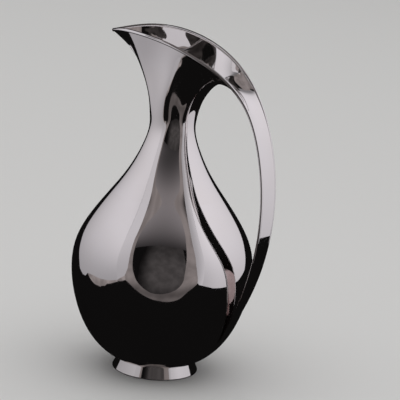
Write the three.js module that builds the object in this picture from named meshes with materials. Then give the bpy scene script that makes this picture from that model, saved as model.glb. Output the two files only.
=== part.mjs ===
// A polished silver jug: pear-shaped body on a ring foot, narrow neck, oblique
// mouth with a pouring spout, and a strap handle that grows out of the rear of
// the mouth and swoops down to the belly.
// Millimetres, +Z up. The jug is symmetric about the plane Y = 0, the spout
// points to -X and the handle to +X. It stands on Z = 0.
import * as THREE from 'three';
import { mergeVertices } from 'three/addons/utils/BufferGeometryUtils.js';

// ---------------------------------------------------------------- dimensions
const AXIS_X = -10.8;           // the body's axis; the origin is under the middle of the whole jug
const SHEET = 1.1;              // wall of the raised body and of the mouth
const SEAM = 0.3;               // gap left at each soldered seam
const SEGMENTS = 48;            // facets around the body
const BELT_Z = 86.1;            // widest belt, where bowl and shoulder meet

const FOOT_R_BOTTOM = 34.6;     // flared ring foot, outside
const FOOT_R_TOP = 31.0;
const FOOT_WALL = 2.4;
const FOOT_EDGE = 0.5;          // bevel round the standing edge

// Outline of the body, as control points [radius, height] of a cubic spline
// that starts on the axis and ends where the neck begins.
const BODY_OUTLINE = [
  [0, 3.35], [25.3, 5.2], [44.98, 15.66], [59.46, 32.96], [68.61, 55.0],
  [73.46, 78.68], [72.64, 101.76], [62.6, 122.5], [44.53, 146.93],
];

// Rings of the neck, [radius, height], continuing the outline of the body.
const NECK_RINGS = [
  [44.53, 146.93], [36.0, 158.45], [28.6, 171.0], [22.4, 184.5], [18.26, 198.8], [19.31, 210.68],
];
// The neck is a little narrower across than along, higher up: width over length of each ring.
const RING_WIDE = [1.0, 1.0, 1.0, 1.0, 0.869, 0.912];

// Edge of the mouth and of the handle, one side: [x from the body's axis, half
// width, height]. Starts at the tip of the spout, runs along the mouth, and on
// down the edge of the strap to its tail on the belly.
const EDGE = [
  [-64.49, 0.0, 268.1], [-55.44, 8.36, 270.99], [-45.68, 15.83, 273.48], [-34.16, 21.54, 274.96],
  [-20.29, 24.67, 274.92], [-5.43, 25.56, 273.36], [9.6, 24.95, 270.22], [24.16, 23.16, 265.54],
  [38.02, 20.46, 259.53], [50.99, 16.97, 252.12], [63.18, 13.44, 242.5], [73.81, 10.99, 229.34],
  [81.86, 10.04, 213.03], [87.54, 9.86, 195.24], [91.41, 9.63, 176.43], [93.36, 9.27, 156.74],
  [93.21, 8.8, 136.99], [91.06, 8.2, 117.36], [87.01, 7.45, 98.02], [81.31, 6.48, 79.68],
  [74.3, 5.18, 62.45], [66.75, 3.46, 46.9], [59.55, 1.16, 32.6],
];
const COLUMNS = 24;             // ribs around the neck
const ROOT_COLUMN = 3;          // ribs either side of the middle that run into the strap
const ROOT_ROW = 9;             // edge point where the mouth ends and the strap begins

// Lean of the wall where it meets the rim, in degrees above level, from the
// root of the handle (first) round to the tip of the spout (last).
const RIM_LEAN = [0, 0, 0, 50, 45.7, 74.4, 85.4, 68.5, 60.0, 67.1, 46.7, 28.0, 24.2];
const RIM_PULL = [0.308, 0.308, 0.308, 0.491, 0.447, 0.38, 0.417, 0.47, 0.538, 0.538, 0.559, 0.505, 0.505];
// Lean of the wall away from upright where it leaves the neck, and how long it holds it.
const NECK_LEAN = [0.0, 0.0, 0.0, 2.7, 8.7, 10.5, 13.6, 7.3, 0.7, 0.7, 0.0, 0.0, 0.0];
const NECK_PULL = [0.298, 0.298, 0.298, 0.398, 0.414, 0.434, 0.389, 0.327, 0.277, 0.277, 0.291, 0.328, 0.328];
const CORNER_RISE = [0.66, 0.462, 0.371];   // run of the wall into the corners of the root
const ROOT_OUT = 0.56;          // how far the root rises off the strap's own run
const RIB_STEPS = [0.27, 0.53, 0.78, 1.0];
// Depth of the trough below its edges, where the mouth runs out into the strap.
const TROUGH = { 9: 10.29, 10: 4.6, 11: 1.8, 12: 0.6, 13: 0.15 };
const TROUGH_REST = 0.0;
// Thickness of the strap along its length.
const STRAP_THICK = { 9: 1.3, 10: 1.4, 11: 1.5, 20: 1.4, 21: 1.2, 22: 0.8 };
const STRAP_REST = 1.6;

const RIM_WIRE_R = 1.52;        // bead on the rim
const STRAP_WIRE_R = 1.2;       // bead on the strap's edges
const WIRE_SIDES = 8;
const WIRE_END = 20;            // edge point where the strap's beads run out
const TAIL_HALF = { 21: 3.3, 22: 1.1 };   // bare half width of the strap's tail

// ------------------------------------------------------------------- helpers
const add = (a, b, s = 1) => a.map((v, i) => v + s * b[i]);
const scale = (a, s) => a.map((v) => v * s);
const length = (a) => Math.hypot(...a);
const unit = (a) => scale(a, 1 / length(a));
const dot = (a, b) => a.reduce((s, v, i) => s + v * b[i], 0);
const cross = (a, b) => [a[1] * b[2] - a[2] * b[1], a[2] * b[0] - a[0] * b[2], a[0] * b[1] - a[1] * b[0]];

// Point of a uniform cubic spline over four neighbouring control points.
function splinePoint(a, b, c, d, t) {
  const w = [(1 - t) ** 3, 3 * t ** 3 - 6 * t ** 2 + 4, -3 * t ** 3 + 3 * t ** 2 + 3 * t + 1, t ** 3];
  return a.map((_, i) => (w[0] * a[i] + w[1] * b[i] + w[2] * c[i] + w[3] * d[i]) / 6);
}

function silver() {
  return new THREE.MeshStandardMaterial({ color: 0xd9d6d4, metalness: 1.0, roughness: 0.06 });
}

function solid(name, geometry) {
  const mesh = new THREE.Mesh(geometry, silver());
  mesh.name = name;
  return mesh;
}

// ------------------------------------------------------------ body of the jug
const bodyControl = [[-BODY_OUTLINE[1][0], BODY_OUTLINE[1][1]], ...BODY_OUTLINE];
{
  const n = BODY_OUTLINE.length;
  bodyControl.push(add(scale(BODY_OUTLINE[n - 1], 2), BODY_OUTLINE[n - 2], -1));
}
function bodyPoint(u) {
  const k = Math.min(Math.floor(u), BODY_OUTLINE.length - 2);
  return splinePoint(bodyControl[k], bodyControl[k + 1], bodyControl[k + 2], bodyControl[k + 3], u - k);
}
function bodyNormal(u) {
  const a = bodyPoint(Math.max(u - 1e-3, 0)), b = bodyPoint(Math.min(u + 1e-3, BODY_OUTLINE.length - 1));
  return unit([b[1] - a[1], a[0] - b[0]]);
}
// Parameter of the outline at a height, on the way up.
function bodyAt(z) {
  let lo = 1, hi = BODY_OUTLINE.length - 1;
  for (let i = 0; i < 60; i++) {
    const mid = (lo + hi) / 2;
    if (bodyPoint(mid)[1] < z) lo = mid; else hi = mid;
  }
  return (lo + hi) / 2;
}
// A wall between two places on the outline, turned round the axis.
function shell(u0, u1, steps, onAxis) {
  const outer = [], inner = [];
  for (let i = 0; i <= steps; i++) {
    const u = u0 + ((u1 - u0) * i) / steps;
    const p = bodyPoint(u), n = bodyNormal(u);
    outer.push(new THREE.Vector2(p[0], p[1]));
    inner.push(new THREE.Vector2(p[0] - SHEET * n[0], p[1] - SHEET * n[1]));
  }
  if (onAxis) { outer[0].x = 0; inner[0].x = 0; }
  const profile = [...outer, ...inner.reverse()];
  if (!onAxis) profile.push(profile[0].clone());
  return lathe(profile);
}
function lathe(profile) {
  const g = new THREE.LatheGeometry(profile, SEGMENTS);
  g.rotateX(Math.PI / 2);
  // turning the axis from Y to Z keeps the faces pointing out
  return clean(g);
}
function clean(geometry) {
  geometry.deleteAttribute('normal');
  if (geometry.attributes.uv) geometry.deleteAttribute('uv');
  const merged = mergeVertices(geometry, 1e-4);
  // drop the slivers that collapse where a turned profile meets the axis
  const pos = merged.attributes.position, index = [];
  for (let i = 0; i < merged.index.count; i += 3) {
    const t = [merged.index.getX(i), merged.index.getX(i + 1), merged.index.getX(i + 2)];
    if (t[0] !== t[1] && t[1] !== t[2] && t[2] !== t[0]) index.push(...t);
  }
  merged.setIndex(index);
  // faces point out: the enclosed volume is positive
  let volume = 0;
  const v = (i) => [pos.getX(i), pos.getY(i), pos.getZ(i)];
  for (let i = 0; i < index.length; i += 3) {
    const a = v(index[i]), c = cross(v(index[i + 1]), v(index[i + 2]));
    volume += a[0] * c[0] + a[1] * c[1] + a[2] * c[2];
  }
  if (volume < 0) for (let i = 0; i < index.length; i += 3) [index[i + 1], index[i + 2]] = [index[i + 2], index[i + 1]];
  merged.setIndex(index);
  merged.computeVertexNormals();
  return merged;
}

const belly = solid('belly_bowl', shell(0, bodyAt(BELT_Z - SEAM / 2), 15, true));
const shoulder = solid('shoulder_shell', shell(bodyAt(BELT_Z + SEAM / 2), BODY_OUTLINE.length - 1 - SEAM / 60, 9, false));

// --------------------------------------------------------------------- foot
function foot() {
  const lowIn = FOOT_R_BOTTOM - FOOT_WALL, topIn = FOOT_R_TOP - FOOT_WALL;
  // the top of the band follows the belly it is soldered to
  const under = (r) => {
    let lo = 0, hi = 4;
    for (let i = 0; i < 60; i++) { const m = (lo + hi) / 2; if (bodyPoint(m)[0] < r) lo = m; else hi = m; }
    return bodyPoint(lo)[1] - SEAM * 1.3;
  };
  const p = [
    [lowIn, 0.3], [lowIn + 0.3, 0], [FOOT_R_BOTTOM - FOOT_EDGE, 0], [FOOT_R_BOTTOM, FOOT_EDGE],
    [FOOT_R_TOP, under(FOOT_R_TOP)], [(FOOT_R_TOP + topIn) / 2, under((FOOT_R_TOP + topIn) / 2)],
    [topIn, under(topIn)], [lowIn, 0.3],
  ];
  return lathe(p.map((q) => new THREE.Vector2(q[0], q[1])));
}
const footBand = solid('foot_band', foot());

// ------------------------------------------- mouth, spout and handle as a sheet
// The sheet is laid out as a net of four-sided patches and smoothed once.
// Every net point carries its two skin offsets along with its place.
function edgeDirection(i) {
  return unit(add(EDGE[Math.min(i + 1, EDGE.length - 1)], EDGE[Math.max(i - 1, 0)], -1));
}
// the sheet stops short of its bead by a seam
const insetOf = (i) => (i <= ROOT_ROW ? RIM_WIRE_R : STRAP_WIRE_R) + SEAM;
function strapRow(i) {
  const t = edgeDirection(i), along = unit([t[0], 0, t[2]]), out = [-along[2], 0, along[0]];
  const depth = TROUGH[i] ?? TROUGH_REST, thick = STRAP_THICK[i] ?? STRAP_REST;
  const half = TAIL_HALF[i] ?? EDGE[i][1] - insetOf(i);
  const row = [];
  for (let k = -ROOT_COLUMN; k <= ROOT_COLUMN; k++) {
    const u = k / ROOT_COLUMN, s = (u * half) / EDGE[i][1];
    row.push([...add([EDGE[i][0], u * half, EDGE[i][2]], out, -depth * (1 - s * s)), thick / 2, -thick / 2]);
  }
  return { row, along, out };
}
function buildNet() {
  const points = [], faces = [], at = new Map();
  const comp = 3 / (2 + Math.cos((2 * Math.PI) / COLUMNS));
  const root = strapRow(ROOT_ROW);
  const ks = [];
  for (let k = -COLUMNS / 2 + 1; k <= COLUMNS / 2; k++) ks.push(k);
  const rows = NECK_RINGS.length + RIB_STEPS.length;
  const ribs = new Map();
  for (const k of ks) {
    const angle = (2 * Math.PI * k) / COLUMNS, a = Math.abs(k), side = k >= 0 ? 1 : -1;
    const rib = NECK_RINGS.map(([r, z], n) => [r * comp * Math.cos(angle), r * comp * RING_WIDE[n] * Math.sin(angle), z]);
    const foot = rib[rib.length - 1];
    let end, arrive;
    if (a >= ROOT_COLUMN) {
      const i = COLUMNS / 2 - a;
      end = [EDGE[i][0], EDGE[i][1] * side, EDGE[i][2]];
      const t = edgeDirection(i);
      const level = i === 0 ? [-1, 0, 0] : unit([-t[1], t[0] * side, 0]);
      const lean = (RIM_LEAN[a] * Math.PI) / 180;
      arrive = [level[0] * Math.cos(lean), level[1] * Math.cos(lean), Math.sin(lean)];
      if (a === ROOT_COLUMN) arrive = unit([CORNER_RISE[0], CORNER_RISE[1] * side, CORNER_RISE[2]]);
    } else {
      end = root.row[ROOT_COLUMN + k].slice(0, 3);
      arrive = unit(add(root.along, root.out, ROOT_OUT * (1 - 0.3 * (a / ROOT_COLUMN) ** 2)));
    }
    const reach = length(add(end, foot, -1));
    const tilt = (NECK_LEAN[a] * Math.PI) / 180;
    const rise = [Math.sin(tilt) * Math.cos(angle), Math.sin(tilt) * Math.sin(angle), Math.cos(tilt)];
    const p1 = add(foot, rise, reach * NECK_PULL[a]), p2 = add(end, arrive, -reach * RIM_PULL[a]);
    for (const t of RIB_STEPS) {
      const w = [(1 - t) ** 3, 3 * t * (1 - t) ** 2, 3 * t * t * (1 - t), t ** 3];
      rib.push(foot.map((_, j) => w[0] * foot[j] + w[1] * p1[j] + w[2] * p2[j] + w[3] * end[j]));
    }
    if (a >= ROOT_COLUMN) {
      // stop short of the bead
      const last = rib[rows - 1], i = COLUMNS / 2 - a, t = edgeDirection(i);
      const edge = i === 0 ? [0, 1, 0] : [t[0], t[1] * side, t[2]];
      const back = add(rib[rows - 2], last, -1);
      const inward = unit(add(back, edge, -dot(back, edge)));
      rib[rows - 1] = a === ROOT_COLUMN ? root.row[ROOT_COLUMN + k].slice(0, 3) : add(last, inward, insetOf(i));
    }
    // stop short of the shoulder
    rib[0] = add(rib[0], unit(add(rib[1], rib[0], -1)), SEAM / 2);
    ribs.set(k, rib);
  }
  for (let r = 0; r < rows; r++) {
    for (const k of ks) {
      at.set(`${r},${k}`, points.length);
      const f = Math.max(0, (r - NECK_RINGS.length + 1) / RIB_STEPS.length);   // 0 on the neck, 1 at the rim
      const lip = STRAP_THICK[ROOT_ROW] / 2;
      points.push([...ribs.get(k)[r], f * lip, -(1 - f) * SHEET - f * lip]);
    }
  }
  for (let r = 0; r < rows - 1; r++) {
    ks.forEach((k, n) => {
      const m = ks[(n + 1) % ks.length];
      faces.push([at.get(`${r},${k}`), at.get(`${r},${m}`), at.get(`${r + 1},${m}`), at.get(`${r + 1},${k}`)]);
    });
  }
  const mouthFaces = faces.length;
  let previous = [];
  for (let k = -ROOT_COLUMN; k <= ROOT_COLUMN; k++) previous.push(at.get(`${rows - 1},${k}`));
  for (let i = ROOT_ROW + 1; i < EDGE.length; i++) {
    const current = strapRow(i).row.map((p) => points.push(p) - 1);
    for (let k = 0; k < 2 * ROOT_COLUMN; k++) faces.push([previous[k], previous[k + 1], current[k + 1], current[k]]);
    previous = current;
  }
  return { points, faces, mouthFaces, along: root.along };
}

// One smoothing step that splits every patch in four; edges of the sheet stay smooth curves.
function refine(points, faces) {
  const dim = points[0].length, zero = () => new Array(dim).fill(0);
  const mean = (list) => scale(list.reduce((s, p) => add(s, p), zero()), 1 / list.length);
  const facePoint = faces.map((f) => mean(f.map((i) => points[i])));
  const edges = new Map();
  const key = (a, b) => (a < b ? `${a},${b}` : `${b},${a}`);
  faces.forEach((f, n) => f.forEach((a, j) => {
    const b = f[(j + 1) % 4], id = key(a, b);
    if (!edges.has(id)) edges.set(id, { a, b, faces: [] });
    edges.get(id).faces.push(n);
  }));
  const around = points.map(() => ({ faces: [], mids: [], rim: [] }));
  faces.forEach((f, n) => f.forEach((i) => around[i].faces.push(n)));
  for (const e of edges.values()) {
    const mid = mean([points[e.a], points[e.b]]);
    around[e.a].mids.push(mid); around[e.b].mids.push(mid);
    if (e.faces.length === 1) { around[e.a].rim.push(e.b); around[e.b].rim.push(e.a); }
  }
  const out = points.map((p, i) => {
    const n = around[i];
    if (n.rim.length) return scale(add(add(scale(p, 6), points[n.rim[0]]), points[n.rim[1]]), 1 / 8);
    const c = n.faces.length;
    return scale(add(add(mean(n.faces.map((f) => facePoint[f])), mean(n.mids), 2), p, c - 3), 1 / c);
  });
  for (const e of edges.values()) {
    e.point = out.length;
    out.push(e.faces.length === 1 ? mean([points[e.a], points[e.b]])
      : mean([points[e.a], points[e.b], facePoint[e.faces[0]], facePoint[e.faces[1]]]));
  }
  const result = [];
  faces.forEach((f, n) => {
    const centre = out.push(facePoint[n]) - 1;
    const e = f.map((a, j) => edges.get(key(a, f[(j + 1) % 4])).point);
    f.forEach((a, j) => result.push([a, e[j], centre, e[(j + 3) % 4]]));
  });
  return { points: out, faces: result };
}
// Where each net point ends up on the fully smoothed sheet.
function settle(points, faces) {
  const around = points.map(() => ({ n: 0, next: new Set(), across: [], count: new Map() }));
  faces.forEach((f) => f.forEach((i, j) => {
    const a = around[i];
    a.n += 1; a.across.push(f[(j + 2) % 4]);
    for (const m of [f[(j + 1) % 4], f[(j + 3) % 4]]) { a.next.add(m); a.count.set(m, (a.count.get(m) ?? 0) + 1); }
  }));
  return points.map((p, i) => {
    const a = around[i], rim = [...a.count].filter(([, c]) => c === 1).map(([m]) => m);
    if (rim.length) return scale(add(add(scale(p, 4), points[rim[0]]), points[rim[1]]), 1 / 6);
    let s = scale(p, a.n * a.n);
    for (const m of a.next) s = add(s, points[m], 4);
    for (const m of a.across) s = add(s, points[m]);
    return scale(s, 1 / (a.n * (a.n + 5)));
  });
}
function sheetNormals(points, faces) {
  const n = points.map(() => [0, 0, 0]);
  for (const f of faces) {
    const [a, b, c, d] = f.map((i) => points[i].slice(0, 3));
    const m = cross(add(c, a, -1), add(d, b, -1));
    for (const i of f) n[i] = add(n[i], m);
  }
  return n.map(unit);
}
// Closed solid between the two skins of part of the sheet.
function thicken(points, normals, faces) {
  const used = [...new Set(faces.flat())], slot = new Map(used.map((i, n) => [i, n]));
  const position = [], index = [], m = used.length;
  for (const skin of [3, 4]) for (const i of used) position.push(...add(points[i].slice(0, 3), normals[i], points[i][skin]));
  const rim = new Map();
  for (const f of faces) {
    const q = f.map((i) => slot.get(i));
    index.push(q[0], q[1], q[2], q[0], q[2], q[3]);
    index.push(m + q[2], m + q[1], m + q[0], m + q[3], m + q[2], m + q[0]);
    q.forEach((a, j) => {
      const b = q[(j + 1) % 4];
      if (rim.has(`${b},${a}`)) rim.delete(`${b},${a}`); else rim.set(`${a},${b}`, [a, b]);
    });
  }
  for (const [a, b] of rim.values()) index.push(b, a, m + a, b, m + a, m + b);
  const g = new THREE.BufferGeometry();
  g.setAttribute('position', new THREE.Float32BufferAttribute(position, 3));
  g.setIndex(index);
  return clean(g);
}

const net = buildNet();
const fine = refine(net.points, net.faces);
const sheet = settle(fine.points, fine.faces);
const normals = sheetNormals(sheet, fine.faces);
const mouthPatches = fine.faces.slice(0, net.mouthFaces * 4), strapPatches = fine.faces.slice(net.mouthFaces * 4);
const inMouth = new Set(mouthPatches.flat()), inStrap = new Set(strapPatches.flat());
const shifted = (by) => sheet.map((p, i) => (inMouth.has(i) && inStrap.has(i)
  ? [...add(p.slice(0, 3), net.along, by), p[3], p[4]] : p));
const mouth = solid('mouth_funnel', thicken(shifted(-SEAM / 2), normals, mouthPatches));
const strap = solid('handle_strap', thicken(shifted(SEAM / 2), normals, strapPatches));

// -------------------------------------------------------------- beads on the edge
// The whole edge as one curve: -1 .. 0 on the far side, 0 .. 1 on the near side.
class EdgeCurve extends THREE.Curve {
  constructor(from, to) { super(); this.from = from; this.to = to; }
  getPoint(t, target = new THREE.Vector3()) {
    const u = this.from + (this.to - this.from) * t, last = EDGE.length - 1;
    const control = (i) => {
      const j = Math.abs(i), s = i < 0 ? -1 : 1;
      const p = j <= last ? EDGE[j] : add(scale(EDGE[last], 2), EDGE[last - 1], -1);
      return [p[0], p[1] * s, p[2]];
    };
    const k = Math.floor(u), p = splinePoint(control(k - 1), control(k), control(k + 1), control(k + 2), u - k);
    return target.set(p[0], p[1], p[2]);
  }
}
function bead(name, from, to, steps, radius) {
  const section = new THREE.Shape();
  for (let i = 0; i < WIRE_SIDES; i++) {
    const a = (2 * Math.PI * (i + 0.5)) / WIRE_SIDES, p = [radius * Math.cos(a), radius * Math.sin(a)];
    if (i === 0) section.moveTo(...p); else section.lineTo(...p);
  }
  section.closePath();
  const g = new THREE.ExtrudeGeometry(section, { steps, extrudePath: new EdgeCurve(from, to), curveSegments: 1 });
  return solid(name, clean(g));
}
const part = SEAM / 30;         // half a seam, in steps along the edge
const rimWire = bead('rim_wire', -ROOT_ROW + part, ROOT_ROW - part, 54, RIM_WIRE_R);
const wireRight = bead('handle_wire_right', ROOT_ROW + part, WIRE_END, 30, STRAP_WIRE_R);
const wireLeft = bead('handle_wire_left', -WIRE_END, -ROOT_ROW - part, 30, STRAP_WIRE_R);

// ------------------------------------------------------------------ the assembly
const jug = new THREE.Group();
jug.name = 'jug';
const body = new THREE.Group();
body.position.x = AXIS_X;
body.add(footBand, belly, shoulder, mouth, strap, rimWire, wireLeft, wireRight);
jug.add(body);

export default jug;
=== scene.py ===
import math

import bpy
import numpy as np
from mathutils import Matrix, Vector


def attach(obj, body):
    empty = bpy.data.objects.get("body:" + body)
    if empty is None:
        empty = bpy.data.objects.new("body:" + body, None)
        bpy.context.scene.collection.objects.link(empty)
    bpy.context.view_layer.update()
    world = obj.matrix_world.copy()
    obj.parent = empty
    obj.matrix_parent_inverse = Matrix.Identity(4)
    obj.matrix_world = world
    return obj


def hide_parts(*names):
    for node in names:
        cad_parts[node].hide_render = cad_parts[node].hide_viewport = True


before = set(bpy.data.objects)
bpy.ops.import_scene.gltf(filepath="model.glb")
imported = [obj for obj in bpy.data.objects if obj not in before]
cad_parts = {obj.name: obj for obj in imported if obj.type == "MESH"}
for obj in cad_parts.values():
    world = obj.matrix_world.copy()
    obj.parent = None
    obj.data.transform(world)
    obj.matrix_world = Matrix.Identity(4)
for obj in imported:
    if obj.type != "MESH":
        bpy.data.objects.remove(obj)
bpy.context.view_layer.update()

# ---------------------------------------------------------------- dimensions
# Millimetres, measured from the axis of the body.
AXIS_X = -10.8
SHEET = 1.1
BELT_Z = 86.1
SEGMENTS = 192

FOOT_R_BOTTOM = 34.6
FOOT_R_TOP = 31.0
FOOT_WALL = 2.4

BODY_OUTLINE = [
    (0, 3.35), (25.3, 5.2), (44.98, 15.66), (59.46, 32.96), (68.61, 55.0),
    (73.459, 78.68), (72.64, 101.76), (62.6, 122.5), (44.53, 146.93),
]
NECK_RINGS = [
    (44.53, 146.93), (36.0, 158.45), (28.6, 171.0), (22.4, 184.5), (18.26, 198.8), (19.31, 210.68),
]
EDGE = np.array([
    (-64.49, 0.0, 268.1), (-55.44, 8.36, 270.99), (-45.68, 15.83, 273.48), (-34.16, 21.54, 274.96),
    (-20.29, 24.67, 274.92), (-5.43, 25.56, 273.36), (9.6, 24.95, 270.22), (24.16, 23.16, 265.54),
    (38.02, 20.46, 259.53), (50.99, 16.97, 252.12), (63.18, 13.44, 242.5), (73.81, 10.99, 229.34),
    (81.86, 10.04, 213.03), (87.54, 9.86, 195.24), (91.41, 9.63, 176.43), (93.36, 9.27, 156.74),
    (93.21, 8.8, 136.99), (91.06, 8.2, 117.36), (87.01, 7.45, 98.02), (81.31, 6.48, 79.68),
    (74.3, 5.18, 62.45), (66.75, 3.46, 46.9), (59.55, 1.16, 32.6),
])
COLUMNS = 24
ROOT_COLUMN = 3
ROOT_ROW = 9
RIM_LEAN = [0, 0, 0, 50, 45.7, 74.4, 85.4, 68.5, 60.0, 67.1, 46.7, 28.0, 24.2]
RIM_PULL = [0.308, 0.308, 0.308, 0.491, 0.447, 0.38, 0.417, 0.47, 0.538, 0.538, 0.559, 0.505, 0.505]
NECK_PULL = [0.298, 0.298, 0.298, 0.398, 0.414, 0.434, 0.389, 0.327, 0.277, 0.277, 0.291, 0.328, 0.328]
NECK_LEAN = [0.0, 0.0, 0.0, 2.7, 8.7, 10.5, 13.6, 7.3, 0.7, 0.7, 0.0, 0.0, 0.0]
RING_WIDE = [1.0, 1.0, 1.0, 1.0, 0.869, 0.912]
CORNER_RISE = (0.66, 0.462, 0.371)
ROOT_OUT = 0.56
RIB_STEPS = [0.27, 0.53, 0.78, 1.0]
TROUGH = {9: 10.29, 10: 4.6, 11: 1.8, 12: 0.6, 13: 0.15}
TROUGH_REST = 0.0
STRAP_THICK = {9: 1.3, 10: 1.4, 11: 1.5, 20: 1.4, 21: 1.2, 22: 0.8}
STRAP_REST = 1.6
LIP = 0.65
WIRE_R = 1.4
STRAP_WIRE_R = 1.1
FINE = 3                        # smoothing steps of the sheet


def unit(v):
    v = np.asarray(v, float)
    return v / np.linalg.norm(v)


# ------------------------------------------------------------------ materials
def silver(name, tone, dull, rough, seed, grain, gap_shade_tint=None):
    """Polished silver: a faint warm bloom in patches, hair-fine polishing marks, soft dings from handling."""
    mat = bpy.data.materials.new(name)
    mat.use_nodes = True
    tree = mat.node_tree
    nodes, links = tree.nodes, tree.links
    shader = nodes["Principled BSDF"]
    shader.inputs["Metallic"].default_value = 1.0
    coords = nodes.new("ShaderNodeTexCoord")

    def noise(scale, detail, roughness, stretch=(1, 1, 1), shift=0.0):
        place = nodes.new("ShaderNodeMapping")
        place.inputs["Location"].default_value = (seed + shift, seed * 0.7, shift)
        place.inputs["Scale"].default_value = stretch
        links.new(coords.outputs["Object"], place.inputs["Vector"])
        n = nodes.new("ShaderNodeTexNoise")
        n.inputs["Scale"].default_value = scale
        n.inputs["Detail"].default_value = detail
        n.inputs["Roughness"].default_value = roughness
        links.new(place.outputs["Vector"], n.inputs["Vector"])
        return n.outputs["Fac"]

    def span(value, a, b, c, d):
        r = nodes.new("ShaderNodeMapRange")
        r.inputs["From Min"].default_value = a
        r.inputs["From Max"].default_value = b
        r.inputs["To Min"].default_value = c
        r.inputs["To Max"].default_value = d
        links.new(value, r.inputs["Value"])
        return r.outputs["Result"]

    def math_node(kind, a, b):
        m = nodes.new("ShaderNodeMath")
        m.operation = kind
        for socket, v in zip(m.inputs, (a, b)):
            if isinstance(v, (int, float)):
                socket.default_value = v
            else:
                links.new(v, socket)
        return m.outputs[0]

    # colour: bright silver with a faint warm bloom in soft patches
    patches = span(noise(14.0, 4.0, 0.55), 0.45, 0.75, 0.0, 1.0)
    mix = nodes.new("ShaderNodeMix")
    mix.data_type = "RGBA"
    mix.inputs["A"].default_value = (*tone, 1)
    mix.inputs["B"].default_value = (*dull, 1)
    links.new(patches, mix.inputs["Factor"])
    colour = mix.outputs["Result"]
    if gap_shade_tint:
        # painted shade and reflection: a brown tint low on the inner face, in the narrow gap facing the belly
        side, level = nodes.new("ShaderNodeSeparateXYZ"), nodes.new("ShaderNodeSeparateXYZ")
        links.new(coords.outputs["Normal"], side.inputs[0])
        links.new(coords.outputs["Object"], level.inputs[0])
        gap_shade_mask = math_node("MULTIPLY", span(side.outputs["X"], -0.6, -0.25, 1.0, 0.0), span(level.outputs["Z"], 0.105, 0.135, 1.0, 0.0))
        gap_shade_mask = math_node("MULTIPLY", gap_shade_mask, span(noise(90.0, 5.0, 0.6, shift=7.3), 0.3, 0.7, 0.8, 1.0))
        gap_shaded = nodes.new("ShaderNodeMix")
        gap_shaded.data_type = "RGBA"
        gap_shaded.inputs["B"].default_value = (*gap_shade_tint, 1)
        links.new(gap_shade_mask, gap_shaded.inputs["Factor"])
        links.new(colour, gap_shaded.inputs["A"])
        colour = gap_shaded.outputs["Result"]
    links.new(colour, shader.inputs["Base Color"])

    # roughness: haze of polishing, and sparse hair scratches in two directions
    haze = span(noise(60.0, 6.0, 0.6, shift=3.1), 0.35, 0.75, rough, rough + 0.035)
    lines_a = span(noise(900.0, 2.0, 0.5, stretch=(0.03, 1, 1), shift=5.7), 0.70, 0.80, 0.0, 1.0)
    lines_b = span(noise(800.0, 2.0, 0.5, stretch=(1, 0.8, 0.035), shift=9.2), 0.71, 0.81, 0.0, 1.0)
    scratches = math_node("MAXIMUM", lines_a, lines_b)
    links.new(math_node("ADD", haze, math_node("MULTIPLY", scratches, 0.10)), shader.inputs["Roughness"])

    # relief: soft waves left by the planishing hammer, then the scratches
    waves = nodes.new("ShaderNodeBump")
    waves.inputs["Strength"].default_value = 1.0
    waves.inputs["Distance"].default_value = grain
    links.new(noise(38.0, 1.0, 0.4, shift=1.3), waves.inputs["Height"])
    fine = nodes.new("ShaderNodeBump")
    fine.inputs["Strength"].default_value = 0.25
    fine.inputs["Distance"].default_value = 0.000004
    fine.invert = True
    links.new(scratches, fine.inputs["Height"])
    links.new(waves.outputs["Normal"], fine.inputs["Normal"])
    links.new(fine.outputs["Normal"], shader.inputs["Normal"])
    return mat


BODY = silver("body_silver", (0.93, 0.915, 0.915), (0.90, 0.875, 0.86), 0.022, 0.0, 0.00004)
MOUTH = silver("mouth_silver", (0.93, 0.915, 0.915), (0.90, 0.875, 0.86), 0.022, 2.3, 0.00003)
# the handle's last colour is painted shade and reflection, laid low on its inner face facing the belly
HANDLE = silver("handle_silver", (0.93, 0.915, 0.915), (0.89, 0.87, 0.86), 0.026, 4.1, 0.00003, (0.42, 0.325, 0.315))
BEAD = silver("bead_silver", (0.93, 0.92, 0.92), (0.88, 0.86, 0.85), 0.030, 6.4, 0.00001)
FOOT = silver("foot_silver", (0.92, 0.905, 0.90), (0.87, 0.85, 0.83), 0.035, 8.8, 0.00002)


# --------------------------------------------------------------------- pieces
def piece(name, node, points, faces, normals, material, slot):
    """A mesh in millimetres about the body's axis, with one normal for each face corner."""
    mesh = bpy.data.meshes.new(name)
    where = (np.asarray(points, float) + np.array((AXIS_X, 0, 0))) * 0.001
    mesh.from_pydata(where.tolist(), [], [list(map(int, f)) for f in faces])
    mesh.polygons.foreach_set("use_smooth", [True] * len(mesh.polygons))
    mesh.normals_split_custom_set([tuple(n) for n in normals])
    mesh.materials.append(material)
    mesh.update()
    obj = bpy.data.objects.new(name, mesh)
    bpy.context.scene.collection.objects.link(obj)
    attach(obj, "root")
    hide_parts(node)
    return obj


def spline(a, b, c, d, t):
    return ((1 - t) ** 3 * a + (3 * t ** 3 - 6 * t ** 2 + 4) * b
            + (-3 * t ** 3 + 3 * t ** 2 + 3 * t + 1) * c + t ** 3 * d) / 6


outline = np.array(BODY_OUTLINE, float)
outline = np.vstack([outline[1] * (-1, 1), outline, 2 * outline[-1] - outline[-2]])


def body_point(u):
    k = min(int(u), len(BODY_OUTLINE) - 2)
    return spline(*outline[k:k + 4], u - k)


def body_normal(u):
    a, b = body_point(max(u - 1e-3, 0)), body_point(min(u + 1e-3, len(BODY_OUTLINE) - 1))
    if u < 1e-6:
        return np.array((0.0, -1.0))
    return unit((b[1] - a[1], a[0] - b[0]))


def body_at(value, column, lo, hi):
    for _ in range(60):
        mid = (lo + hi) / 2
        if body_point(mid)[column] < value:
            lo = mid
        else:
            hi = mid
    return (lo + hi) / 2


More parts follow.
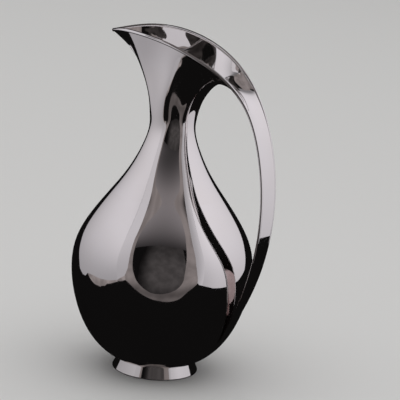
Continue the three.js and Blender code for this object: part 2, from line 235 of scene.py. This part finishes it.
def turned(profile):
    """Turns a closed profile round the axis. profile holds runs of (point, normal); a run is smooth, and runs meet at an edge."""
    angles = 2 * np.pi * np.arange(SEGMENTS) / SEGMENTS
    cos, sin = np.cos(angles), np.sin(angles)
    points, faces, normals, rings = [], [], [], {}

    def ring(p):
        key = (round(p[0], 4), round(p[1], 4))
        if key not in rings:
            start = len(points)
            if p[0] < 1e-6:
                points.append((0, 0, p[1]))
                rings[key] = [start] * SEGMENTS
            else:
                points.extend(np.column_stack([p[0] * cos, p[0] * sin, np.full(SEGMENTS, p[1])]).tolist())
                rings[key] = list(range(start, start + SEGMENTS))
        return rings[key]

    for run in profile:
        for (p, n), (q, m) in zip(run, run[1:]):
            a, b = ring(p), ring(q)
            for i in range(SEGMENTS):
                j = (i + 1) % SEGMENTS
                corners = [(a[i], n, i), (a[j], n, j), (b[j], m, j), (b[i], m, i)]
                if a[i] == a[j]:
                    corners.pop(1)
                if b[i] == b[j]:
                    corners.pop(2)
                faces.append([c[0] for c in corners])
                normals += [(c[1][0] * cos[c[2]], c[1][0] * sin[c[2]], c[1][1]) for c in corners]
    return points, faces, normals


def wall(u0, u1, steps):
    """Profile of the body's wall between two places on its outline: outside, upper edge, inside, lower edge."""
    us = np.linspace(u0, u1, steps + 1)
    outer = [(body_point(u), body_normal(u)) for u in us]
    if u0 == 0:
        outer[0] = (np.array((0.0, outer[0][0][1])), outer[0][1])
    inner = [(p - SHEET * n, -n) for p, n in outer][::-1]
    if u0 == 0:
        inner[-1] = (np.array((0.0, inner[-1][0][1])), inner[-1][1])

    def across(p, q):
        d = unit(q - p)
        n = np.array((d[1], -d[0]))
        return [(p, n), (q, n)]

    runs = [outer, across(outer[-1][0], inner[0][0]), inner]
    if u0 > 0:
        runs.append(across(inner[-1][0], outer[0][0]))
    return runs


belt = body_at(BELT_Z, 1, 1, len(BODY_OUTLINE) - 1)
piece("belly_bowl_silver", "belly_bowl", *turned(wall(0, belt, 44)), BODY, "body_silver")
piece("shoulder_shell_silver", "shoulder_shell", *turned(wall(belt, len(BODY_OUTLINE) - 1, 32)), BODY, "body_silver")


def foot_profile():
    low_in, top_in = FOOT_R_BOTTOM - FOOT_WALL, FOOT_R_TOP - FOOT_WALL

    def under(r):
        return body_point(body_at(r, 0, 0, 4))[1]

    def corner(x, z, r, a0, a1, steps=6):
        return [(np.array((x + r * math.cos(a), z + r * math.sin(a))), np.array((math.cos(a), math.sin(a))))
                for a in np.radians(np.linspace(a0, a1, steps + 1))]

    top = under(FOOT_R_TOP)
    lean = math.degrees(math.atan2(FOOT_R_BOTTOM - FOOT_R_TOP, top))
    e = 0.7
    # standing face, outside of the band, and the top that follows the belly
    run = corner(low_in + 0.4, 0.4, 0.4, -180 + lean, -90, 5)
    first = run[0]
    run += corner(FOOT_R_BOTTOM - e, e, e, -90, lean, 8)
    x0, z0 = run[-1][0]
    n = run[-1][1]
    for t in np.linspace(0, 1, 9)[1:]:
        run.append((np.array((x0 + (FOOT_R_TOP - x0) * t, z0 + (top - z0) * t)), n))
    seat = [FOOT_R_TOP + (top_in - FOOT_R_TOP) * t for t in np.linspace(0, 1, 5)]
    seat = [(np.array((r, under(r))), -body_normal(body_at(r, 0, 0, 4))) for r in seat]
    inside = [(np.array((top_in, under(top_in))), first[1]), first]
    return [run, seat, inside]


piece("foot_band_silver", "foot_band", *turned(foot_profile()), FOOT, "foot_silver")


# ----------------------------------------------- mouth, spout and handle sheet
def edge_direction(i):
    return unit(EDGE[min(i + 1, len(EDGE) - 1)] - EDGE[max(i - 1, 0)])


def strap_row(i):
    t = edge_direction(i)
    along = unit((t[0], 0, t[2]))
    out = np.array((-along[2], 0, along[0]))
    depth, thick = TROUGH.get(i, TROUGH_REST), STRAP_THICK.get(i, STRAP_REST)
    row = []
    for k in range(-ROOT_COLUMN, ROOT_COLUMN + 1):
        s = k / ROOT_COLUMN
        p = np.array((EDGE[i][0], s * EDGE[i][1], EDGE[i][2])) - depth * (1 - s * s) * out
        row.append((*p, thick / 2, -thick / 2))
    return row, along, out


def build_net():
    points, faces, at = [], [], {}
    comp = 3 / (2 + math.cos(2 * math.pi / COLUMNS))
    root, along, out = strap_row(ROOT_ROW)
    ks = list(range(-COLUMNS // 2 + 1, COLUMNS // 2 + 1))
    rows = len(NECK_RINGS) + len(RIB_STEPS)
    ribs = {}
    for k in ks:
        angle, a, side = 2 * math.pi * k / COLUMNS, abs(k), 1 if k >= 0 else -1
        rib = [np.array((r * comp * math.cos(angle), r * comp * wide * math.sin(angle), z)) for (r, z), wide in zip(NECK_RINGS, RING_WIDE)]
        foot = rib[-1]
        if a >= ROOT_COLUMN:
            i = COLUMNS // 2 - a
            end = EDGE[i] * (1, side, 1)
            t = edge_direction(i)
            level = np.array((-1.0, 0, 0)) if i == 0 else unit((-t[1], t[0] * side, 0))
            lean = math.radians(RIM_LEAN[a])
            arrive = level * math.cos(lean) + np.array((0, 0, math.sin(lean)))
            if a == ROOT_COLUMN:
                arrive = unit(np.array(CORNER_RISE) * (1, side, 1))
        else:
            end = np.array(root[ROOT_COLUMN + k][:3])
            arrive = unit(along + ROOT_OUT * (1 - 0.3 * (a / ROOT_COLUMN) ** 2) * out)
        reach = np.linalg.norm(end - foot)
        tilt = math.radians(NECK_LEAN[a])
        rise = np.array((math.sin(tilt) * math.cos(angle), math.sin(tilt) * math.sin(angle), math.cos(tilt)))
        p1 = foot + rise * reach * NECK_PULL[a]
        p2 = end - arrive * reach * RIM_PULL[a]
        for t in RIB_STEPS:
            rib.append((1 - t) ** 3 * foot + 3 * t * (1 - t) ** 2 * p1 + 3 * t * t * (1 - t) * p2 + t ** 3 * end)
        ribs[k] = rib
    for r in range(rows):
        for k in ks:
            at[r, k] = len(points)
            f = max(0.0, (r - len(NECK_RINGS) + 1) / len(RIB_STEPS))
            points.append((*ribs[k][r], f * LIP, -(1 - f) * SHEET - f * LIP))
    for r in range(rows - 1):
        for n, k in enumerate(ks):
            m = ks[(n + 1) % len(ks)]
            faces.append((at[r, k], at[r, m], at[r + 1, m], at[r + 1, k]))
    mouth = len(faces)
    previous = [at[rows - 1, k] for k in range(-ROOT_COLUMN, ROOT_COLUMN + 1)]
    for i in range(ROOT_ROW + 1, len(EDGE)):
        current = []
        for p in strap_row(i)[0]:
            current.append(len(points))
            points.append(p)
        for k in range(2 * ROOT_COLUMN):
            faces.append((previous[k], previous[k + 1], current[k + 1], current[k]))
        previous = current
    return np.array(points), np.array(faces), mouth, [at[0, k] for k in ks]


def edges_of(faces):
    pairs = np.sort(np.stack([faces, np.roll(faces, -1, 1)], 2).reshape(-1, 2), 1)
    key, back, count = np.unique(pairs, axis=0, return_inverse=True, return_counts=True)
    return key, back.ravel(), count


def refine(points, faces):
    """Splits every patch in four; the sheet gets smoother, and its free edges stay smooth curves."""
    n, dim = len(points), points.shape[1]
    centre = points[faces].mean(1)
    key, back, count = edges_of(faces)
    total = np.zeros((len(key), dim))
    np.add.at(total, back, np.repeat(centre, 4, 0))
    mid = points[key].mean(1)
    free = count == 1
    edge = np.where(free[:, None], mid, (points[key].sum(1) + total) / 4)
    valence = np.bincount(faces.ravel(), minlength=n)[:, None].astype(float)
    around, mids, number = np.zeros((n, dim)), np.zeros((n, dim)), np.zeros((n, 1))
    np.add.at(around, faces.ravel(), np.repeat(centre, 4, 0))
    rim = np.zeros((n, dim))
    for c in (0, 1):
        np.add.at(mids, key[:, c], mid)
        np.add.at(number, key[:, c], 1)
        np.add.at(rim, key[free][:, c], points[key[free][:, 1 - c]])
    on_rim = np.zeros(n, bool)
    on_rim[key[free].ravel()] = True
    inside = (around / valence + 2 * mids / number + (valence - 3) * points) / valence
    moved = np.where(on_rim[:, None], (rim + 6 * points) / 8, inside)
    e = back.reshape(-1, 4) + n
    f = np.arange(len(faces)) + n + len(key)
    split = np.stack([np.stack([faces[:, k], e[:, k], f, e[:, (k - 1) % 4]], 1) for k in range(4)], 1).reshape(-1, 4)
    return np.vstack([moved, edge, centre]), split


def settle(points, faces):
    """Moves every point to where endless smoothing would take it."""
    n, dim = len(points), points.shape[1]
    key, _, count = edges_of(faces)
    free = count == 1
    on_rim = np.zeros(n, bool)
    on_rim[key[free].ravel()] = True
    rim, near, across = np.zeros((n, dim)), np.zeros((n, dim)), np.zeros((n, dim))
    for c in (0, 1):
        np.add.at(rim, key[free][:, c], points[key[free][:, 1 - c]])
        np.add.at(near, key[:, c], points[key[:, 1 - c]])
    for k in range(4):
        np.add.at(across, faces[:, k], points[faces[:, (k + 2) % 4]])
    v = np.bincount(faces.ravel(), minlength=n)[:, None].astype(float)
    inside = (v * v * points + 4 * near + across) / (v * (v + 5))
    return np.where(on_rim[:, None], (rim + 4 * points) / 6, inside)


def sheet_normals(points, faces):
    m = np.cross(points[faces[:, 2]] - points[faces[:, 0]], points[faces[:, 3]] - points[faces[:, 1]])
    n = np.zeros_like(points)
    for k in range(4):
        np.add.at(n, faces[:, k], m)
    return n / np.linalg.norm(n, axis=1)[:, None]


net, patches, mouth_count, _ = build_net()
for _ in range(FINE):
    net, patches = refine(net, patches)
net = settle(net, patches)
mouth_count *= 4 ** FINE
centre_normals = sheet_normals(net[:, :3], patches)
# where the neck leaves the shoulder, the sheet follows the body's own slope
ring = np.abs(net[:, 2] - NECK_RINGS[0][1]) < 1e-3
slope = unit((NECK_RINGS[1][1] - NECK_RINGS[0][1], NECK_RINGS[0][0] - NECK_RINGS[1][0]))


def on_ring(n):
    flat = net[ring, :2] / np.linalg.norm(net[ring, :2], axis=1)[:, None]
    n[ring] = np.column_stack([flat * slope[0], np.full(ring.sum(), slope[1])])
    return n


centre_normals = on_ring(centre_normals)
outer_skin = net[:, :3] + centre_normals * net[:, 3:4]
inner_skin = net[:, :3] + centre_normals * net[:, 4:5]
outer_normals = on_ring(sheet_normals(outer_skin, patches))
inner_normals = on_ring(sheet_normals(inner_skin, patches))


def thickened(chosen):
    """Closed wall between the two skins over some of the patches."""
    used = np.unique(chosen)
    place = np.full(len(net), -1)
    place[used] = np.arange(len(used))
    q = place[chosen]
    m = len(used)
    points = np.vstack([outer_skin[used], inner_skin[used]])
    faces = [*q.tolist(), *(q[:, ::-1] + m).tolist()]
    normals = [*outer_normals[chosen].reshape(-1, 3).tolist(), *(-inner_normals[chosen[:, ::-1]]).reshape(-1, 3).tolist()]
    pairs = np.stack([q, np.roll(q, -1, 1)], 2).reshape(-1, 2)
    there = set(map(tuple, pairs.tolist()))
    for a, b in pairs.tolist():
        if (b, a) not in there:
            f = [b, a, a + m, b + m]
            n = unit(np.cross(points[f[2]] - points[f[0]], points[f[3]] - points[f[1]]))
            faces.append(f)
            normals += [n.tolist()] * 4
    return points, faces, normals


piece("mouth_funnel_silver", "mouth_funnel", *thickened(patches[:mouth_count]), MOUTH, "mouth_silver")
piece("handle_strap_silver", "handle_strap", *thickened(patches[mouth_count:]), HANDLE, "handle_silver")


# ----------------------------------------------------------------------- beads
def edge_point(u):
    def control(i):
        j, s, last = abs(i), -1 if i < 0 else 1, len(EDGE) - 1
        p = EDGE[j] if j <= last else 2 * EDGE[last] - EDGE[last - 1]
        return p * (1, s, 1)
    k = min(math.floor(u), len(EDGE) - 2)
    return spline(control(k - 1), control(k), control(k + 1), control(k + 2), u - k)


def bead(name, node, u0, u1, steps, radius, sides=16):
    """Round wire along the edge of the sheet; radius is a function of the place along it."""
    us = np.linspace(u0, u1, steps + 1)
    line = np.array([edge_point(u) for u in us])
    tangent = np.gradient(line, axis=0)
    tangent /= np.linalg.norm(tangent, axis=1)[:, None]
    first = unit(np.cross(tangent[0], (0.0, 0.3, 1.0)))
    points, normals = [], []
    for p, t, u in zip(line, tangent, us):
        first = unit(first - t * np.dot(first, t))
        second = np.cross(t, first)
        for i in range(sides):
            a = 2 * math.pi * i / sides
            d = math.cos(a) * first + math.sin(a) * second
            points.append(p + radius(u) * d)
            normals.append(d)
    faces, corner = [], []
    for s in range(steps):
        for i in range(sides):
            j = (i + 1) % sides
            f = [s * sides + i, s * sides + j, (s + 1) * sides + j, (s + 1) * sides + i]
            faces.append(f)
            corner += [normals[v].tolist() for v in f]
    for start, t, flip in ((0, -tangent[0], True), (steps * sides, tangent[-1], False)):
        f = list(range(start, start + sides))
        faces.append(f[::-1] if flip else f)
        corner += [t.tolist()] * sides
    return piece(name, node, points, faces, corner, BEAD, "bead_silver")


def even(u):
    return WIRE_R


def tapering(u):
    u = abs(u)
    if u < 18:
        return WIRE_R + (STRAP_WIRE_R - WIRE_R) * min(1.0, (u - ROOT_ROW) / 3)
    return STRAP_WIRE_R + (0.45 - STRAP_WIRE_R) * (u - 18) / (len(EDGE) - 1 - 18)


bead("rim_wire_silver", "rim_wire", -ROOT_ROW, ROOT_ROW, 220, even)
bead("handle_wire_right_silver", "handle_wire_right", ROOT_ROW, len(EDGE) - 1.2, 150, tapering)
bead("handle_wire_left_silver", "handle_wire_left", -(len(EDGE) - 1.2), -ROOT_ROW, 150, tapering)


# ---------------------------------------------------------------------- camera
AZIMUTH, ELEVATION, ROLL = math.radians(32), math.radians(14), math.radians(4.46)
DISTANCE = 1.8
back = Vector((math.sin(AZIMUTH) * math.cos(ELEVATION), -math.cos(AZIMUTH) * math.cos(ELEVATION), math.sin(ELEVATION)))
right = Vector((math.cos(AZIMUTH), math.sin(AZIMUTH), 0))
up = back.cross(right)
target = Vector((AXIS_X * 0.001, 0, 0.135)) + 0.026307 * right + 0.007409 * up
camera = bpy.data.cameras.new("camera")
camera.sensor_fit = "HORIZONTAL"
camera.sensor_width = 36.0
camera.lens = 202.5
camera.clip_end = 50
eye = bpy.data.objects.new("camera", camera)
bpy.context.scene.collection.objects.link(eye)
x_axis = math.cos(ROLL) * right + math.sin(ROLL) * up
y_axis = -math.sin(ROLL) * right + math.cos(ROLL) * up
eye.matrix_world = Matrix.Translation(target + DISTANCE * back) @ Matrix((x_axis, y_axis, back)).transposed().to_4x4()
bpy.context.scene.camera = eye

# ----------------------------------------------------------------------- studio
# A tent of pale cloth: a wall on either side, a front with a hemmed opening and
# a flap towards the camera, and a dim room beyond it. Places are (right, away, up)
# as the camera sees them, in metres from the body's axis.
away = Vector((-math.sin(AZIMUTH), math.cos(AZIMUTH), 0))
upward = Vector((0, 0, 1))
middle = Vector((AXIS_X * 0.001, 0, 0))


def glow(name, tint, build):
    """Cloth lit from outside; build gives its brightness from the cloth's own coordinates."""
    mat = bpy.data.materials.new(name)
    mat.use_nodes = True
    tree = mat.node_tree
    tree.nodes.clear()
    out = tree.nodes.new("ShaderNodeOutputMaterial")
    light = tree.nodes.new("ShaderNodeEmission")
    light.inputs["Color"].default_value = (*tint, 1)
    tree.links.new(light.outputs[0], out.inputs["Surface"])
    coords = tree.nodes.new("ShaderNodeTexCoord").outputs["Object"]

    def node(kind, **settings):
        n = tree.nodes.new(kind)
        for key, value in settings.items():
            setattr(n, key, value)
        return n

    def ramp(value, a, b, c, d):
        r = node("ShaderNodeMapRange", interpolation_type="SMOOTHSTEP")
        for key, v in zip(("From Min", "From Max", "To Min", "To Max"), (a, b, c, d)):
            r.inputs[key].default_value = v
        tree.links.new(value, r.inputs["Value"])
        return r.outputs["Result"]

    def axis(i):
        n = node("ShaderNodeSeparateXYZ")
        tree.links.new(coords, n.inputs[0])
        return n.outputs[i]

    def from_spot(x, y, flatten):
        m = node("ShaderNodeMapping")
        m.inputs["Location"].default_value = (-x * flatten, -y, 0)
        m.inputs["Scale"].default_value = (flatten, 1, 0)
        tree.links.new(coords, m.inputs["Vector"])
        n = node("ShaderNodeVectorMath", operation="LENGTH")
        tree.links.new(m.outputs[0], n.inputs[0])
        return n.outputs["Value"]

    def folds(scale, low, high):
        n = node("ShaderNodeTexNoise")
        n.inputs["Scale"].default_value = scale
        n.inputs["Detail"].default_value = 2.0
        tree.links.new(coords, n.inputs["Vector"])
        return ramp(n.outputs["Fac"], 0.3, 0.7, low, high)

    def times(*values):
        result = values[0]
        for v in values[1:]:
            m = node("ShaderNodeMath", operation="MULTIPLY")
            tree.links.new(result, m.inputs[0])
            tree.links.new(v, m.inputs[1])
            result = m.outputs[0]
        return result

    tree.links.new(build(ramp, axis, from_spot, folds, times), light.inputs["Strength"])
    return mat


def cloth(name, points, faces, material, origin=(0, 0, 0), axes=((1, 0, 0), (0, 1, 0), (0, 0, 1))):
    """A sheet of the tent, seen only in the silver. points are along the axes given, which are (right, away, up)."""
    mesh = bpy.data.meshes.new(name)
    mesh.from_pydata(points, [], faces)
    mesh.materials.append(material)
    obj = bpy.data.objects.new(name, mesh)
    bpy.context.scene.collection.objects.link(obj)
    columns = [a[0] * right + a[1] * away + a[2] * upward for a in axes]
    place = middle + origin[0] * right + origin[1] * away + origin[2] * upward
    obj.matrix_world = Matrix.Translation(place) @ Matrix(columns).transposed().to_4x4()
    obj.visible_camera = obj.visible_diffuse = obj.visible_shadow = False
    obj.visible_transmission = obj.visible_volume_scatter = False
    return obj


SIDE = ((0, 1, 0), (0, 0, 1), (1, 0, 0))
WHITE = (1.0, 0.955, 1.0)
GREY = (1.0, 0.87, 0.855)
left_glow = glow("left_cloth", WHITE, lambda ramp, axis, spot, folds, times: times(
    ramp(spot(-0.05, 0.40, 0.45), 0.02, 0.46, 0.64, 0.31), ramp(axis(1), 0.60, 0.80, 1.0, 0.5)))
right_glow = glow("right_cloth", WHITE, lambda ramp, axis, spot, folds, times: times(
    ramp(spot(0.05, 0.40, 0.45), 0.02, 0.50, 0.72, 0.48), ramp(axis(0), -0.30, -0.08, 0.80, 1.0), ramp(axis(1), 0.60, 0.80, 1.0, 0.4)))
left_wall = [(-0.275, 0.018), (-0.19, 0.010), (-0.10, 0.011), (-0.03, 0.017), (0.03, 0.016), (0.06, -0.003), (0.099, -0.006),
             (0.154, 0.005), (0.177, 0.033), (0.225, 0.067), (0.275, 0.103), (0.349, 0.129), (0.414, 0.152), (0.465, 0.171),
             (0.55, 0.20), (0.55, 0.225), (0.44, 0.237), (0.40, 0.27), (0.385, 0.35), (0.38, 0.60), (0.40, 1.0), (-0.08, 1.0), (-0.146, 0.60)]
right_wall = [(-0.275, 0.030), (-0.204, 0.021), (-0.16, 0.014), (-0.073, 0.015), (0.075, 0.026), (0.169, 0.048), (0.212, 0.084),
              (0.259, 0.119), (0.324, 0.143), (0.388, 0.163), (0.433, 0.180), (0.464, 0.195), (0.70, 0.29), (0.70, 1.0), (-0.08, 1.0), (-0.146, 0.60)]
cloth("left_wall", [(v, z, 0) for v, z in left_wall], [range(len(left_wall))], left_glow, (-0.33, 0, 0), SIDE)
cloth("right_wall", [(v, z, 0) for v, z in right_wall], [range(len(right_wall))], right_glow, (0.312, 0, 0), SIDE)


# the front leans in towards the top
def front(points, step=0.0):
    return [(u, -0.272 + 0.21 * z - step, z) for u, z in points]


# and the hemmed opening stands a little beyond it
def beyond(points, step=0.0):
    return [(u, -0.40 + 0.21 * z - step, z) for u, z in points]


# ragged lower end of the left wall's cloth
low_glow = glow("low_cloth", GREY, lambda ramp, axis, spot, folds, times: folds(14.0, 0.17, 0.30))
ragged = [(-0.275, 0.018), (-0.19, 0.010), (-0.10, 0.011), (-0.03, 0.017), (0.028, 0.016), (0.028, 0.011), (0.007, -0.003), (-0.013, -0.013),
          (-0.041, -0.024), (-0.070, -0.027), (-0.089, -0.032), (-0.11, -0.026), (-0.139, -0.025), (-0.16, -0.012), (-0.19, -0.011), (-0.212, -0.007), (-0.275, 0.006)]
cloth("left_end", [(v, z, 0) for v, z in ragged], [range(len(ragged))], low_glow, (-0.3295, 0, 0), SIDE)
ragged_front = [(-0.33, 0.018), (-0.33, 0.006), (-0.314, 0.015), (-0.27, 0.027), (-0.215, 0.050), (-0.215, 0.080), (-0.263, 0.055)]
cloth("left_front_end", front(ragged_front, 0.002), [range(len(ragged_front))], low_glow)

left_front = [(-0.33, 0.018), (-0.263, 0.055), (-0.223, 0.075), (-0.208, 0.100), (-0.192, 0.136), (-0.189, 0.185), (-0.195, 0.262), (-0.200, 0.330),
              (-0.184, 0.400), (-0.176, 0.45), (-0.21, 0.52), (-0.24, 0.62), (-0.25, 1.0), (-0.33, 1.0)]
right_front = [(0.312, 0.030), (0.263, 0.044), (0.240, 0.062), (0.234, 0.095), (0.223, 0.123), (0.209, 0.190), (0.209, 0.250), (0.203, 0.324),
               (0.204, 0.394), (0.205, 0.47), (0.22, 0.52), (0.25, 0.57), (0.312, 0.60)]
left_front_glow = glow("left_front_cloth", WHITE, lambda ramp, axis, spot, folds, times: ramp(axis(2), 0.05, 0.40, 0.38, 0.54))
right_front_glow = glow("right_front_cloth", WHITE, lambda ramp, axis, spot, folds, times: ramp(axis(0), 0.19, 0.33, 0.33, 0.52))
cloth("left_front", front(left_front, 0.003), [range(len(left_front))], left_front_glow)
cloth("right_front", front(right_front, 0.003), [range(len(right_front))], right_front_glow)


# hem round the opening: inner and outer outline
def closed_line(points, per=6):
    p = np.array(points, float)
    line = []
    for i in range(len(p)):
        a, b, c, d = p[i - 1], p[i], p[(i + 1) % len(p)], p[(i + 2) % len(p)]
        for t in np.arange(per) / per:
            line.append(0.5 * (2 * b + (c - a) * t + (2 * a - 5 * b + 4 * c - d) * t ** 2 + (3 * b - a - 3 * c + d) * t ** 3))
    return line


inner_hem = [(-0.237, 0.148), (-0.221, 0.099), (-0.203, 0.053), (-0.173, 0.019), (-0.138, -0.008), (-0.096, -0.029), (-0.059, -0.040),
             (0.016, -0.040), (0.080, -0.026), (0.111, -0.013), (0.134, -0.002), (0.161, 0.022), (0.177, 0.045), (0.188, 0.070), (0.193, 0.103),
             (0.194, 0.151), (0.202, 0.232), (0.215, 0.328), (0.225, 0.439), (0.229, 0.508), (0.203, 0.553), (0.127, 0.561), (0.031, 0.561),
             (-0.064, 0.550), (-0.159, 0.541), (-0.223, 0.528), (-0.266, 0.470), (-0.264, 0.344), (-0.251, 0.232)]
outer_hem = [(-0.308, 0.161), (-0.334, 0.102), (-0.353, 0.031), (-0.297, 0.001), (-0.217, -0.043), (-0.144, -0.074), (-0.072, -0.094),
             (0.000, -0.104), (0.084, -0.112), (0.147, -0.106), (0.200, -0.090), (0.264, -0.039), (0.333, 0.001), (0.385, 0.041), (0.375, 0.094),
             (0.357, 0.140), (0.334, 0.248), (0.334, 0.345), (0.325, 0.462), (0.326, 0.564), (0.325, 0.666), (0.189, 0.680), (0.047, 0.680),
             (-0.112, 0.680), (-0.294, 0.666), (-0.294, 0.566), (-0.321, 0.471), (-0.313, 0.364), (-0.303, 0.240)]
inner_line, outer_line = closed_line(inner_hem), closed_line(outer_hem)
m = len(inner_line)
hem_glow = glow("hem_cloth", GREY, lambda ramp, axis, spot, folds, times: times(
    folds(8.0, 0.85, 1.2), ramp(axis(2), -0.055, 0.078, 0.078, 0.195),
    ramp(axis(2), -0.095, -0.055, 1.3, 1.0), ramp(axis(2), 0.585, 0.65, 1.0, 0.12)))
cloth("opening_hem", beyond(inner_line) + beyond(outer_line), [(i, (i + 1) % m, m + (i + 1) % m, m + i) for i in range(m)], hem_glow)

# flap that hangs in the top of the opening, lighter towards its upper edge
flap_glow = glow("flap_cloth", (1.0, 0.90, 0.93), lambda ramp, axis, spot, folds, times: ramp(axis(2), 0.348, 0.612, 0.025, 0.215))
cloth("flap", beyond([(-0.288, 0.38), (0.255, 0.38), (0.255, 0.627), (-0.288, 0.627)], 0.004), [(0, 1, 2, 3)], flap_glow)

# ceiling of the tent
top_glow = glow("top_cloth", GREY, lambda ramp, axis, spot, folds, times: folds(6.0, 0.16, 0.26))
cloth("top", [(-0.33, -0.08, 0.9), (0.312, -0.08, 0.9), (0.312, 0.25, 0.9), (-0.33, 0.25, 0.9)], [(0, 1, 2, 3)], top_glow)
front_top = [(-0.25, 0.60), (-0.19, 0.60), (-0.12, 0.68), (0.25, 0.70), (0.25, 1.0), (-0.25, 1.0)]
cloth("front_top", front(front_top), [range(len(front_top))], top_glow)

# dark cards held over the mouth
card_glow = glow("dark_card", GREY, lambda ramp, axis, spot, folds, times: folds(25.0, 0.012, 0.04))
left_card = [(-0.044, -0.032), (-0.033, -0.036), (-0.034, -0.069), (-0.047, -0.102), (-0.086, -0.128), (-0.132, -0.138), (-0.166, -0.134),
             (-0.164, -0.124), (-0.155, -0.118), (-0.143, -0.115), (-0.131, -0.113), (-0.112, -0.106), (-0.097, -0.097), (-0.076, -0.084), (-0.054, -0.062)]
right_card = [(-0.066, 0.036), (-0.030, 0.025), (-0.002, 0.022), (0.020, 0.020), (0.060, 0.030), (0.100, 0.060), (0.100, 0.110), (0.010, 0.110),
              (-0.002, 0.060), (-0.066, 0.054)]
for name, outline, level in (("left_card", left_card, 0.40), ("right_card", right_card, 0.33)):
    cloth(name, [(u, v, level) for u, v in outline], [range(len(outline))], card_glow)
near_card = [(-0.038, 0.334), (-0.050, 0.332), (-0.0565, 0.3295), (-0.062, 0.325), (-0.072, 0.317), (-0.0805, 0.310), (-0.087, 0.303),
             (-0.088, 0.294), (-0.085, 0.284), (-0.038, 0.280)]
cloth("near_card", [(-0.10, v, z) for v, z in near_card], [range(len(near_card))], card_glow)

# dim room beyond the opening
room_glow = glow("room", (1.0, 0.90, 0.90), lambda ramp, axis, spot, folds, times: times(
    ramp(axis(0), -0.62, -0.15, 0.008, 0.062), ramp(axis(1), -0.55, 0.05, 0.25, 1.0), ramp(axis(1), 0.5, 1.2, 1.0, 0.55), folds(4.0, 0.75, 1.1)))
cloth("room", [(-0.62, -0.40, 0), (0.75, -0.40, 0), (0.75, 1.6, 0), (-0.62, 1.6, 0)], [(0, 1, 2, 3)], room_glow,
      (0, -1.2, 0), ((1, 0, 0), (0, 0, 1), (0, -1, 0)))

# broad light from above for the floor
light = bpy.data.lights.new("overhead", "AREA")
light.shape = "SQUARE"
light.size = 8.0
light.energy = 1.05 * math.pi * light.size ** 2
overhead = bpy.data.objects.new("overhead", light)
bpy.context.scene.collection.objects.link(overhead)
overhead.location = (0, 0, 3.0)
overhead.visible_camera = overhead.visible_glossy = False

world = bpy.data.worlds.new("studio")
world.use_nodes = True
world.node_tree.nodes["Background"].inputs["Color"].default_value = (0.0045, 0.0042, 0.0042, 1)
bpy.context.scene.world = world

mesh = bpy.data.meshes.new("floor")
mesh.from_pydata([(-4, -4, 0), (4, -4, 0), (4, 4, 0), (-4, 4, 0)], [], [(0, 1, 2, 3)])
floor = bpy.data.objects.new("floor", mesh)
bpy.context.scene.collection.objects.link(floor)
paper = bpy.data.materials.new("floor_paper")
paper.use_nodes = True
shader = paper.node_tree.nodes["Principled BSDF"]
shader.inputs["Base Color"].default_value = (0.80, 0.795, 0.785, 1)
shader.inputs["Roughness"].default_value = 0.9
mesh.materials.append(paper)
floor.visible_glossy = False

bpy.context.scene.view_settings.view_transform = "Standard"
